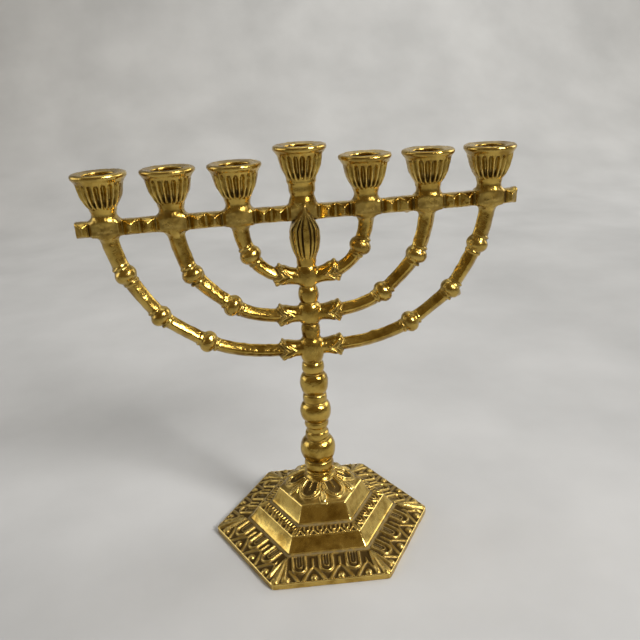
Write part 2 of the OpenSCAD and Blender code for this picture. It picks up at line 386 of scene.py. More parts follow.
def stem_member(x, y, z):
    near = f_stem(x, y, z)
    arms = np.full(x.shape, FAR)
    for path in BRANCHES.values():
        arms = np.minimum(arms, f_branch(path, np.abs(x), y, z))
    f = whole(x, y, z, ("stem", "bud", "outer", "middle", "inner"))
    return f + np.minimum(dip(near - arms), MOST_DIP) + dip(z - STEM_TOP)


def bud_member(x, y, z):
    return whole(x, y, z, ("stem", "bud", "bar")) + dip(STEM_TOP - z) + dip(z - BUD_SEAM)


def bar_member(x, y, z):
    f = whole(x, y, z, ("bud", "bar", "outer", "middle", "inner", "side", "centre"))
    low = np.where(np.abs(x) < PITCH / 2, BUD_SEAM, BRANCH_SEAM)
    return f + dip(z - CUP_SEAM) + dip(low - z)


def side_cup_member(x, y, z):
    return whole(x + PITCH, y, z, ("bar", "side")) + dip(CUP_SEAM - z)


def centre_cup_member(x, y, z):
    return whole(x, y, z, ("bar", "bud", "centre")) + dip(CUP_SEAM - z)


# ---------------------------------------------------------------- meshing
BLOCK_CELLS = 8
BLOCKS_AT_ONCE = 160
EDGES = [(a, a | bit) for bit in (1, 2, 4) for a in range(8) if not a & bit]


def surface_nets(field, lo, hi, h):
    """Vertices and quads of the surface field = 0 inside a box, sampled only in the blocks near it."""
    lo, hi = np.array(lo, float), np.array(hi, float)
    b = BLOCK_CELLS
    n = np.ceil((hi - lo) / (h * b)).astype(int)
    blocks = np.stack(np.meshgrid(*[np.arange(k) for k in n], indexing="ij"), -1).reshape(-1, 3)
    centre = lo + (blocks + 0.5) * b * h
    near = np.abs(field(*centre.T)) < b * h * 1.5
    blocks = blocks[near]
    size = n * b + 2
    off = np.arange(b + 1)
    points, keys, faces = [], [], []
    key_step = np.array([1, size[0], size[0] * size[1]])
    for first in range(0, len(blocks), BLOCKS_AT_ONCE):
        start = blocks[first:first + BLOCKS_AT_ONCE] * b
        axes = [lo[k] + h * (start[:, k, None] + off) for k in range(3)]
        shape = (len(start), b + 1, b + 1, b + 1)
        x = np.broadcast_to(axes[0][:, :, None, None], shape)
        y = np.broadcast_to(axes[1][:, None, :, None], shape)
        z = np.broadcast_to(axes[2][:, None, None, :], shape)
        v = field(x.ravel(), y.ravel(), z.ravel()).reshape(shape)
        corner = [v[:, (c & 1):(c & 1) + b, (c >> 1 & 1):(c >> 1 & 1) + b, (c >> 2):(c >> 2) + b]
                  for c in range(8)]
        inside = sum((c < 0).astype(np.int8) for c in corner)
        m, i, j, k = np.nonzero((inside > 0) & (inside < 8))
        at = [c[m, i, j, k] for c in corner]
        total, count = np.zeros((len(m), 3)), np.zeros(len(m))
        for a, c in EDGES:
            cross = (at[a] < 0) != (at[c] < 0)
            t = np.where(cross, at[a] / np.where(cross, at[a] - at[c], 1), 0)
            for axis in range(3):
                p0, p1 = a >> axis & 1, c >> axis & 1
                total[:, axis] += np.where(cross, p0 + (p1 - p0) * t, 0)
            count += cross
        cell = np.stack([i, j, k], -1) + start[m]
        points.append(lo + h * (cell + total / count[:, None]))
        keys.append(cell @ key_step)
        for axis in range(3):
            far = at[1 << axis]
            cross = (at[0] < 0) != (far < 0)
            key = cell[cross] @ key_step
            d1, d2 = key_step[(axis + 1) % 3], key_step[(axis + 2) % 3]
            quad = np.stack([key - d1 - d2, key - d2, key, key - d1], -1)
            flip = at[0][cross] >= 0
            quad[flip] = quad[flip][:, ::-1]
            faces.append(quad)
    points, keys = np.concatenate(points), np.concatenate(keys)
    faces = np.concatenate(faces)
    order = np.argsort(keys)
    sorted_keys = keys[order]
    found = np.searchsorted(sorted_keys, faces)
    found = np.minimum(found, len(sorted_keys) - 1)
    good = (sorted_keys[found] == faces).all(1)
    return points, order[found[good]]


def gradient(field, p, eps=0.03):
    g = np.empty_like(p)
    for axis in range(3):
        d = np.zeros(3)
        d[axis] = eps
        g[:, axis] = (field(*(p + d).T) - field(*(p - d).T)) / (2 * eps)
    return g


def settle(field, p, quads, rounds=3):
    """Evens the net out along the surface and pulls it onto the surface."""
    ends = np.concatenate([quads[:, [0, 1]], quads[:, [1, 2]], quads[:, [2, 3]], quads[:, [3, 0]]])
    ends = np.concatenate([ends, ends[:, ::-1]])
    count = np.bincount(ends[:, 0], minlength=len(p))
    for _ in range(rounds):
        g = gradient(field, p)
        length = np.linalg.norm(g, axis=1, keepdims=True) + 1e-9
        normal = g / length
        mean = np.stack([np.bincount(ends[:, 0], p[ends[:, 1], a], len(p)) for a in range(3)], -1)
        pull = mean / count[:, None] - p
        pull -= normal * (pull * normal).sum(1, keepdims=True)
        p = p + 0.55 * pull
        f = field(*p.T)[:, None] / length
        p = p - normal * np.clip(f, -0.12, 0.12)
    g = gradient(field, p)
    length = np.linalg.norm(g, axis=1, keepdims=True) + 1e-9
    f = field(*p.T)[:, None] / length
    return p - g / length * np.clip(f, -0.1, 0.1), g / length


# Casting flaws: x, z, width and height of small lumps on the front of the parting line
NUBS = [(50.8, 83.6, 1.0, 0.8), (20.5, 74.0, 0.9, 0.6), (68.4, 117.2, 0.9, 0.6), (42.5, 106.3, 0.7, 0.5),
        (-5.0, 107.4, 0.5, 0.4), (33, 112.9, 0.8, 0.5), (27.3, 129.3, 0.6, 0.5)]


def block_faces(p):
    """1 on the bar's plain blocks under the cups, which kept their raw cast skin."""
    from_cup = np.abs(p[:, 0] - PITCH * np.clip(np.round(p[:, 0] / PITCH), -3, 3))
    plain = step(BLOCK / 2 + 0.3, BLOCK / 2 - 0.6, from_cup) * step(BAR_Z - 1.5, BAR_Z, p[:, 2])
    return plain * step(BAR_TOP + 3, BAR_TOP, p[:, 2])


def roughen(p, normal):
    """Casting waviness, the parting line and its lumps, as a shift along the normal in mm."""
    rough = 0.35 + 1.3 * np.clip(noise(p, 7.0, 16) + 0.15, 0, 1)
    rough = np.maximum(rough, 2.0 * block_faces(p))
    shift = 0.085 * noise(p, 4.2, 11) + 0.062 * noise(p, 2.0, 18)
    shift = shift + rough * (0.046 * noise(p, 0.95, 12) + 0.026 * noise(p, 0.5, 13))
    flash = np.maximum(noise(p * (1, 0.2, 1), 1.6, 14), 0) * 0.11 + 0.02
    flat = step(0.75, 0.35, np.abs(normal[:, 1]))
    outside = step(SEAT_Z + 4, SEAT_Z + 8, p[:, 2])
    shift = shift + flash * flat * outside * bell(p[:, 1] + 0.12 * noise(p, 3.1, 15), 0.24)
    for x, z, wide, high in NUBS:
        far = np.sqrt((p[:, 0] - x) ** 2 + (p[:, 1] / 1.3) ** 2 + (p[:, 2] - z) ** 2)
        shift = shift + high * bell(far, wide)
    return p + normal * shift[:, None]


def hollow_shade_and_wear(field, p, normal):
    """How sunken and how exposed each vertex is, from 0 to 1; the sunken measure is an ambient occlusion
    estimate that darkens the hollows as patina and painted shade, and the exposed one marks worn edges.
    """
    # ambient occlusion at two distances along the normal: it drives the dark patina and painted shade in the
    # hollows
    hollow_patina_shade = np.zeros(len(p))
    for d, share in ((0.5, 0.45), (1.2, 0.55)):
        hollow_patina_shade += share * np.clip(1 - field(*(p + normal * d).T) / d, 0, 1)
    worn = np.clip(1 + field(*(p - normal * 0.4).T) / 0.4, 0, 1)
    return np.clip(1.1 * hollow_patina_shade - 0.12, 0, 1) ** 1.3, worn


def new_object(name, p, faces, attributes, material):
    """A smooth mesh from vertices in mm, faces as an array of quads or a list, and values per vertex."""
    mesh = bpy.data.meshes.new(name)
    mesh.vertices.add(len(p))
    mesh.vertices.foreach_set("co", (p * MM).astype(np.float32).ravel())
    sizes = np.array([len(f) for f in faces]) if isinstance(faces, list) else np.full(len(faces), 4)
    flat = np.concatenate(faces) if isinstance(faces, list) else faces.ravel()
    mesh.loops.add(len(flat))
    mesh.loops.foreach_set("vertex_index", flat.astype(np.int32))
    mesh.polygons.add(len(sizes))
    starts = np.concatenate([[0], np.cumsum(sizes)[:-1]])
    mesh.polygons.foreach_set("loop_start", starts.astype(np.int32))
    mesh.polygons.foreach_set("use_smooth", np.ones(len(sizes), bool))
    mesh.update(calc_edges=True)
    mesh.validate()
    for key, values in attributes.items():
        mesh.attributes.new(key, "FLOAT", "POINT").data.foreach_set("value", values.astype(np.float32))
    o = bpy.data.objects.new(name, mesh)
    bpy.context.scene.collection.objects.link(o)
    mesh.materials.append(material)
    return o


def member_net(field, lo, hi):
    """A member's net on its surface, with its normals and how sunken and worn each vertex is."""
    p, quads = surface_nets(field, lo, hi, MESH_STEP)
    p, normal = settle(field, p, quads)
    return (p, quads, normal) + hollow_shade_and_wear(field, p, normal)


def cast_piece(name, node, net, material, shift=0.0, mirror=False):
    """One member of the casting; the same net, shifted or mirrored, makes its twins."""
    p, quads, normal, hollow_patina_shade, worn = net
    p, normal = p.copy(), normal.copy()
    if mirror:
        p[:, 0] *= -1
        normal[:, 0] *= -1
        quads = quads[:, ::-1]
    p[:, 0] += shift
    p = roughen(p, normal)
    # pale polish residue and painted sheen on faces turned up, down or sideways rather than to the front or
    # back, stronger from the bar up, none in the hollows
    dust = step(0.6, 0.2, np.abs(normal[:, 1])) * (0.35 + 0.65 * step(BAR_Z - 2, BAR_Z + 2, p[:, 2]))
    dust = dust * np.clip(0.55 + 0.6 * noise(p, 2.2, 17), 0, 1) * np.clip(1 - 2 * hollow_patina_shade, 0, 1)
    matte = np.clip(0.9 * block_faces(p) + 0.8 * noise(p, 6.0, 19), 0, 1) * np.clip(1 - worn, 0, 1)
    o = new_object(name, p, quads, {"hollow_patina_shade": hollow_patina_shade, "worn": worn, "dust": dust, "matte": matte}, material)
    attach(o, "candelabrum")
    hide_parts(node)


# ---------------------------------------------------------------- base
# Names with B_ are distances from the axis to the middle of a side, and names with Z_ are heights.
FLAT = math.cos(math.radians(30))
TAN30 = math.tan(math.radians(30))
B_RIM, B_SKIRT, B_BAND, B_LEDGE, B_CROWN = [r * FLAT for r in (RIM_R, 26.8, 23.0, 18.35, 15.0)]
Z_RIM, Z_SKIRT, Z_BAND, Z_LEDGE, Z_CROWN = 2.2, 4.65, 9.7, 10.8, 16.5
WALL = 1.35
DOME_Z = 21.15
SKIRT_L = math.hypot(B_RIM - B_SKIRT, Z_SKIRT - Z_RIM)
FINE, CORE, COARSE = 720, 360, 180  # columns of the outside, of the stem's seat and of the hollow
DOME_ROWS = 64
HEX_POWER = 90.0  # how sharp the hexagon's corners are
GROUND = {"skirt": 0.42, "ledge": 0.28, "dome": 0.3}  # depth of the ground between the relief
MATTE = {"skirt": 1.0, "foot": 0.8, "ledge": 0.7, "dome": 0.5, "rim": 0.3}


def ridge(d, w):
    """A rounded cord of half width w, where d is the distance from its middle."""
    return np.clip(1 - (d / w) ** 2, 0, 1) ** 1.5


def relief_skirt(a, s, half):
    """Height of the border's relief. a runs along the side, s up the slope from the rim's edge."""
    a0 = a + 1.0
    high = np.zeros_like(a)
    dish = np.zeros_like(a)
    for c in (-9, 0, 9):
        u = a0 - c
        d = np.where(s > 5.7, np.abs(u), np.hypot(u, s - 5.7)) - 2.15
        high = np.maximum(high, ridge(d, 0.78) * (np.abs(u) < 3.3))
        inner = np.where(s > 6.7, np.abs(u), np.hypot(u, (s - 6.7) * 0.8)) - 0.95
        high = np.maximum(high, 0.7 * ridge(inner, 0.42) * step(4.9, 5.6, s))
        high = np.maximum(high, 0.55 * ridge(u, 0.36) * step(6.0, 6.8, s))
        dish = np.maximum(dish, step(-0.5, -1.1, d) * 0.22)
    for c in (-13.5, -4.5, 4.5, 13.5):
        u = a0 - c
        own = (np.abs(u) < 4.3) & (np.abs(a) < half - 3.0)
        stem_line = 0.8 * ridge(u, 0.6) * step(4.6, 5.6, s) * step(9.6, 8.2, s)
        reach = np.clip((5.5 - s) / 5.3, 0, 1) ** 0.7 * 3.8
        leg = 0.6 * ridge((np.abs(u) - reach) * 0.75, 0.8) * step(5.8, 5.0, s)
        boss = 1.15 * np.clip(1 - (u / 1.25) ** 2 - ((s - 1.5) / 1.45) ** 2, 0, 1) ** 0.6
        high = np.maximum(high, own * np.maximum(np.maximum(stem_line, leg), boss))
    out, across = SKIRT_L - s, np.abs(a) - B_SKIRT * TAN30
    reach = np.hypot(out, across)
    fan = np.degrees(np.arctan2(across, out))
    leaf = step(6, 10, fan)
    high = high * (1 - leaf)
    for mid, end in ((27, 12.0), (11.5, 10.4)):
        d = reach * np.sin(np.radians(fan - mid))
        fat = 0.4 + 1.15 * np.clip(reach / end, 0, 1)
        tip = np.clip((end - reach) / 1.8, 0, 1)
        high = np.maximum(high, leaf * 1.1 * ridge(d, fat) * tip ** 0.5 * step(0.3, 1.8, reach))
    mask = step(0.12, 0.6, s) * step(SKIRT_L, SKIRT_L - 0.5, s)
    return (0.92 * high - 0.42 - dish * (1 - leaf)) * mask


def relief_ledge(a, s, half):
    """The small egg-and-dart border between the bands. s is the distance from the ledge's outer edge."""
    k = np.round((a - 0.25) / 4.55)
    u = a - 0.25 - 4.55 * k
    reach = np.clip((2.4 - s) / 2.3, 0, 1) * 1.5
    arch = np.where(s > 2.2, ridge(u, 0.42), ridge((np.abs(u) - reach) * 0.8, 0.48))
    k = np.round((a - 2.55) / 4.55)
    u = a - 2.55 - 4.55 * k
    cup = ridge(np.where(s > 2.5, np.abs(u), np.hypot(u, s - 2.5)) - 0.85, 0.42)
    high = np.maximum(arch, cup)
    egg = np.clip(1 - (u / 0.65) ** 2 - ((s - 0.9) / 0.75) ** 2, 0, 1) ** 0.5
    high = np.maximum(high, 0.8 * egg)
    mask = step(0.1, 0.35, s) * step(4.1, 3.6, s) * step(half - 0.2, half - 0.7, np.abs(a))
    return (0.55 * high - 0.28) * mask


def relief_dome(r, phi):
    """Petals that point to the corners, and leaves between them. phi counts from the side's middle."""
    aside = math.radians(30) - np.abs(phi)
    w, along = np.abs(r * np.sin(aside)), r * np.cos(aside)
    tip = np.hypot(w / 4.2, (along - 7.6) / 5.1) * 4.2 - 4.2
    body = np.where(along < 7.6, w - 3.0 - 0.46 * (along - 5), tip)
    petal = step(0.25, -0.35, body)
    loop = np.where(along < 8.3, w - 1.95 - 0.2 * (along - 5), np.hypot(w, (along - 8.3) * 0.9) - 2.61)
    high = 0.62 * petal + 0.3 * ridge(body + 0.45, 0.55)
    high = high - 0.5 * step(0, -0.5, loop) * petal
    high = np.maximum(high, 1.2 * ridge(loop, 0.45))
    high = np.maximum(high, 0.95 * ridge(w, 0.36) * step(9.4, 8.4, along) * (loop < 0))
    v, out = r * np.abs(np.sin(phi)), r * np.cos(phi)
    wide = np.interp(out, (8.2, 9.2, 11, 12.6, 13.4), (0.05, 0.9, 1.7, 1.35, 0.9))
    leaf = np.clip(1 - (v / wide) ** 2, 0, 1) ** 0.5 * step(8.2, 9.2, out)
    leaf = leaf * (1 - 0.35 * bell(v, 0.3) * step(12.6, 11.6, out))
    with_leaf = np.maximum(high, 1.2 * leaf * (body > -0.2))
    high = np.where((body > 0.1) | (leaf > high), with_leaf, high)
    inside = step(0.1, -0.3, loop) * petal
    return (0.72 * high - 0.3) * step(5.5, 6.1, r), inside


def arc(p0, p1, p2, radius, n):
    """Points that round the corner p1 between p0 and p2."""
    p0, p1, p2 = (np.array(p, float) for p in (p0, p1, p2))
    u, v = (p0 - p1) / np.linalg.norm(p0 - p1), (p2 - p1) / np.linalg.norm(p2 - p1)
    t = np.linspace(0, 1, n)[:, None]
    a, b = p1 + u * radius, p1 + v * radius
    return (1 - t) ** 2 * a + 2 * t * (1 - t) * p1 + t ** 2 * b


def base_rows():
    """Rows of the base as (distance from the axis, height, what the row is made of)."""
    c = [(STUD_BORE_R, SEAT_Z), (4.9, SEAT_Z), (5.0, 18.6), (B_CROWN, Z_CROWN), (B_LEDGE, Z_LEDGE),
         (B_BAND, Z_BAND), (B_SKIRT, Z_SKIRT), (B_RIM, Z_RIM), (B_RIM, 0), (B_RIM - WALL, 0),
         (B_RIM - WALL, Z_RIM - WALL), (B_SKIRT - WALL, Z_SKIRT - WALL), (B_BAND - WALL, Z_BAND - WALL),
         (B_LEDGE - WALL, Z_LEDGE - WALL), (B_CROWN - WALL, Z_CROWN - WALL), (STUD_BORE_R, Z_CROWN - WALL)]
    rows = []

    def add(b, z, kind, columns=FINE, turned=0, **more):
        rows.append((b, z, dict(n=columns, kind=kind, round=turned, **more)))

    def line(p, q, count, kind, columns, turned):
        p, q = np.array(p, float), np.array(q, float)
        for t in np.arange(count) / count:
            add(*(p + (q - p) * t), kind, columns, turned)

    def corner(k, radius, **more):
        """Rows that round the corner number k of the outline."""
        for b, z in arc(c[k - 1], c[k], c[k + 1], radius, 4):
            add(b, z, "plain", **more)

    def band(top, bottom):
        """A steep, slightly hollow face between two borders."""
        top, bottom = np.array(top), np.array(bottom)
        side = np.array([top[1] - bottom[1], bottom[0] - top[0]]) / math.dist(top, bottom)
        for k in np.linspace(0.045, 1 - 0.12, 9):
            add(*(top + (bottom - top) * k - side * 0.16 * math.sin(math.pi * k)), "band", s=k)

    def foot(k):
        """The fillet at the foot of a band, where polish stays behind; its middle rows are painted paler as
        polish residue with a painted sheen.
        """
        for i, (b, z) in enumerate(arc(c[k - 1], c[k], c[k + 1], 0.6, 6)):
            add(b, z, "foot", dust=float(i in (2, 3, 4)))

    def border(outer, inner, last, count, kind):
        """A sloping border; s counts from its outer edge."""
        outer, inner = np.array(outer), np.array(inner)
        length = math.dist(inner, outer)
        for s in np.linspace(length - 0.85, last, count):
            add(*(outer + (inner - outer) * s / length), kind, s=s)

    # the seat of the stem
    add(*c[0], "plain", CORE, 1)
    line((c[0][0] + 0.3, SEAT_Z), (c[1][0] - 0.25, SEAT_Z), 3, "plain", CORE, 1)
    for b, z in ((4.75, SEAT_Z + 0.1), (4.9, SEAT_Z + 0.4), (5.0, DOME_Z - 0.05), (5.1, DOME_Z + 0.03)):
        add(b, z, "plain", CORE, 1)
    # the dome, round inside and hexagonal outside
    for i in range(DOME_ROWS):
        b = 5.2 + (B_CROWN - 0.14 - 5.2) * i / DOME_ROWS
        z = DOME_Z - 0.5 * (b - 5.2) - 0.45 * max(b - 12.1, 0)
        add(b, z, "dome", turned=float(step(12.95, 11.6, b)))
    for b, z in arc((B_CROWN - 0.14, Z_CROWN + 0.12), c[3], c[4], 0.16, 4):
        add(b, z, "plain", edge=1)
    band(c[3], c[4])
    foot(4)
    border(c[5], c[4], 0.3, 20, "ledge")
    corner(5, 0.22, edge=1)
    band(c[5], c[6])
    foot(6)
    border(c[7], c[6], 0.32, 46, "skirt")
    corner(7, 0.3, edge=1)
    for z, d in ((1.75, 0), (1.4, 0), (1.2, -0.06), (1.0, 0), (0.65, 0.03)):
        add(B_RIM + d, z, "rim")
    corner(8, 0.3)
    # the hollow, whose roof turns round towards the bore
    for p, q, count in zip(c[9:], c[10:], (2, 8, 5, 4, 5, 7)):
        line(p, q, count, "under", COARSE, 0)
    line(c[15], (c[0][0], SEAT_Z - 0.5), 3, "under", COARSE, 1)
    for b, z, m in rows:
        if m["kind"] == "under" and abs(z - c[14][1]) < 0.01 and b < c[14][0] - 0.5:
            m["round"] = float(step(9, 5, b))
    return rows


def build_base(material):
    """The base casting: rows of the outline swept round the hexagon, with the relief as a shift."""
    rows = base_rows()
    total = len(rows)
    bz = np.array([(b, z) for b, z, _ in rows])
    nxt, prv = np.roll(bz, -1, 0), np.roll(bz, 1, 0)
    tangent = nxt - prv
    normal2 = np.stack([-tangent[:, 1], tangent[:, 0]], -1)
    normal2 /= np.linalg.norm(normal2, axis=1, keepdims=True)
    ps, hollow_patina_shade_rows, worns, dusts, mattes, starts, at = [], [], [], [], [], [], 0
    for (b, z, m), nrm in zip(rows, normal2):
        n, kind = m["n"], m["kind"]
        j = np.arange(n)
        side, tau = j * 6 // n, (j % (n // 6)) / (n / 6)
        phi = np.arctan(TAN30 * (2 * tau - 1))
        a = b * np.tan(phi)
        half = b * TAN30
        height = np.zeros(n)
        hexed = np.cos(phi) ** HEX_POWER + np.cos(math.pi / 3 - np.abs(phi)) ** HEX_POWER
        hexed = hexed ** (-1 / HEX_POWER)
        hexed = hexed * (1 - m["round"]) + m["round"]
        if kind == "skirt":
            height = relief_skirt(a, np.full(n, m["s"]), half)
        elif kind == "ledge":
            height = relief_ledge(a, np.full(n, m["s"]), half)
        elif kind == "dome":
            height, inside = relief_dome(b * hexed, phi)
        bb = b + nrm[0] * height
        zz = z + nrm[1] * height
        r = bb * hexed
        turn = BASE_TURN + math.radians(60) * (side + 0.5) + phi
        ps.append(np.stack([r * np.cos(turn), r * np.sin(turn), zz], -1))
        relief = kind in GROUND
        deep = GROUND.get(kind, 1)
        # pale polish residue and painted sheen: a band just above the relief's ground, or the middle rows of
        # the foot fillets
        foot = bell((height + deep) / deep - 0.62, 0.16) if relief else np.full(n, m.get("dust", 0.0))
        dusts.append(foot * (0.55 if kind == "dome" else 1))
        mattes.append(np.full(n, MATTE.get(kind, 0.0)))
        if relief:
            # patina and painted shade on the relief's ground, by its depth, stronger inside the dome's petal
            # loops
            shade = 0.3 + 0.7 * inside if kind == "dome" else 1
            hollow_patina_shade = shade * np.clip(-height / deep, 0, 1)
            worn = np.clip((height - 0.16) / 0.32, 0, 1)
        else:
            # the band-foot fillets get a fixed patina with painted shade in the crease
            hollow_patina_shade = np.full(n, 0.45 if kind == "foot" else 0.0)
            worn = np.full(n, 0.7 if m.get("edge") else 0.0)
        if kind in ("band", "plain", "rim"):
            worn = np.maximum(worn, 0.9 * bell((half - np.abs(a)) / 0.35, 1.0))
        hollow_patina_shade_rows.append(hollow_patina_shade)
        worns.append(worn)
        starts.append(at)
        at += n
    p = np.concatenate(ps)
    quads, tris = [], []
    for i in range(total):
        k = (i + 1) % total
        n0, n1 = rows[i][2]["n"], rows[k][2]["n"]
        s0, s1 = starts[i], starts[k]
        if n0 == n1:
            j = np.arange(n0)
            q = np.stack([s0 + j, s0 + (j + 1) % n0, s1 + (j + 1) % n0, s1 + j], -1)
            quads.append(q)
            continue
        fine, coarse, nf, nc = (s0, s1, n0, n1) if n0 > n1 else (s1, s0, n1, n0)
        ratio = nf // nc
        j = np.arange(nc)
        out = []
        for e in range(ratio):
            f0, f1 = fine + j * ratio + e, fine + (j * ratio + e + 1) % nf
            c = coarse + (j if e < ratio / 2 else (j + 1) % nc)
            out.append(np.stack([f0, f1, c], -1))
        mid = fine + j * ratio + ratio // 2
        out.append(np.stack([coarse + j, mid, coarse + (j + 1) % nc], -1))
        out = np.concatenate(out)
        tris.append(out if n0 > n1 else out[:, ::-1])
    quads, tris = np.concatenate(quads), np.concatenate(tris)
    outward = np.zeros_like(p)
    for q in (quads, tris):
        nf = np.cross(p[q[:, 1]] - p[q[:, 0]], p[q[:, 2]] - p[q[:, 0]])
        for c in range(q.shape[1]):
            for axis in range(3):
                outward[:, axis] += np.bincount(q[:, c], nf[:, axis], len(p))
    outward /= np.linalg.norm(outward, axis=1, keepdims=True) + 1e-12
    outside = slice(starts[total // 2] - 1, starts[total // 2] + 49)
    if (outward[outside] * p[outside]).sum() < 0:
        quads, tris, outward = quads[:, ::-1], tris[:, ::-1], -outward
    wave = 0.05 * noise(p, 5.0, 31) + 0.02 * noise(p, 1.4, 32)
    p = p + outward * wave[:, None]
    p[:, 2] = np.maximum(p[:, 2], 0)
    faces = [q for q in quads] + [t for t in tris]
    o = new_object("base_casting", p, faces,
                   {"hollow_patina_shade": np.concatenate(hollow_patina_shade_rows), "worn": np.concatenate(worns),
                    "dust": np.concatenate(dusts), "matte": np.concatenate(mattes)}, material)
    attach(o, "base")
    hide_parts("base_shell")


# ---------------------------------------------------------------- fixings
THREAD = 0.8  # the thread's pitch


def ring_piece(name, body, node, outline, material, n=144, shape=None):
    """A closed ring of rows; outline holds (radius, height, thread depth), and shape may square a row."""
    ps = []
    turn = np.arange(n) * 2 * math.pi / n
    for row, (r, z, thread) in enumerate(outline):
        wave = np.abs(((z / THREAD - turn / (2 * math.pi)) % 1) * 2 - 1)
        rr = r - thread * wave
        if shape:
            rr = shape(rr, turn, row)
        ps.append(np.stack([rr * np.cos(turn), rr * np.sin(turn), np.full(n, z)], -1))
    p = np.concatenate(ps)
    m = len(outline)
    i, j = np.meshgrid(np.arange(m), np.arange(n), indexing="ij")
    a, b = (i * n + j).ravel(), (i * n + (j + 1) % n).ravel()
    k = (i + 1) % m
    c, d = (k * n + (j + 1) % n).ravel(), (k * n + j).ravel()
    quads = np.stack([a, b, c, d], -1)
    zero = np.zeros(len(p))
    o = new_object(name, p, quads, {"hollow_patina_shade": zero, "worn": zero + 0.3, "dust": zero}, material)
    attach(o, body)
    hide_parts(node)


def build_fixings(brass, steel):
    """The threaded stud, the washer and the nut that hold the stem on the base."""
    r, depth = STUD_R, 0.32
    z = np.arange(STUD_Z + 0.35, SOCKET_Z - 0.3, 0.1)
    outline = [(0.02, STUD_Z, 0), (1.0, STUD_Z, 0), (r - 0.45, STUD_Z, 0), (r - 0.1, STUD_Z + 0.3, 0.1)]
    outline += [(r, k, depth) for k in z]
    outline += [(r - 0.3, SOCKET_Z, 0), (1.0, SOCKET_Z, 0), (0.02, SOCKET_Z, 0)]
    ring_piece("stud", "candelabrum", "threaded_stud", outline[::-1], brass)
    bore, outer = STUD_BORE_R, washer_hi[0]
    z0, z1 = washer_lo[2], washer_hi[2]
    c = 0.12
    outline = [(bore + c, z1, 0), (outer - c, z1, 0), (outer, z1 - c, 0), (outer, z0 + c, 0),
               (outer - c, z0, 0), (bore + c, z0, 0), (bore, z0 + c, 0), (bore, z1 - c, 0)]
    ring_piece("washer_disc", "washer", "washer", outline, steel, n=96)
    z0, z1 = nut_lo[2], nut_hi[2]
    flat = min(nut_hi[0] - nut_lo[0], nut_hi[1] - nut_lo[1]) / 2
    corner = flat / FLAT
    outline = [(bore + 0.3, z1, 0), (flat * 0.97, z1, 0), (corner, z1 - 0.45, 0)]
    outline += [(corner, k, 0) for k in np.linspace(z1 - 0.6, z0 + 0.6, 5)]
    outline += [(corner, z0 + 0.45, 0), (flat * 0.97, z0, 0), (bore + 0.3, z0, 0)]
    outline += [(bore + 0.02, k, 0) for k in np.arange(z0 + 0.2, z1 - 0.1, 0.2)]

    def hexagon(rr, turn, row):
        if outline[row][0] < flat * 0.9:
            return rr
        local = (turn + math.pi / 6) % (math.pi / 3) - math.pi / 6
        return np.minimum(rr, flat / np.cos(local))

    def turned(rr, turn, row):
        return hexagon(rr, turn + math.pi / 6, row)

    long_x = (nut_hi[0] - nut_lo[0]) > (nut_hi[1] - nut_lo[1])
    ring_piece("clamp_nut", "nut", "hex_nut", outline, brass, shape=turned if long_x else hexagon)


# ---------------------------------------------------------------- materials
WORN_BRASS, RAW_SKIN = (0.88, 0.66, 0.22), (0.2, 0.125, 0.03)
# the dark colour is patina and painted shade for the hollows; the pale one is polish residue and a painted
# sheen
PATINA_AND_SHADE, POLISH_DUST_AND_SHEEN = (0.10, 0.062, 0.018), (0.42, 0.36, 0.22)


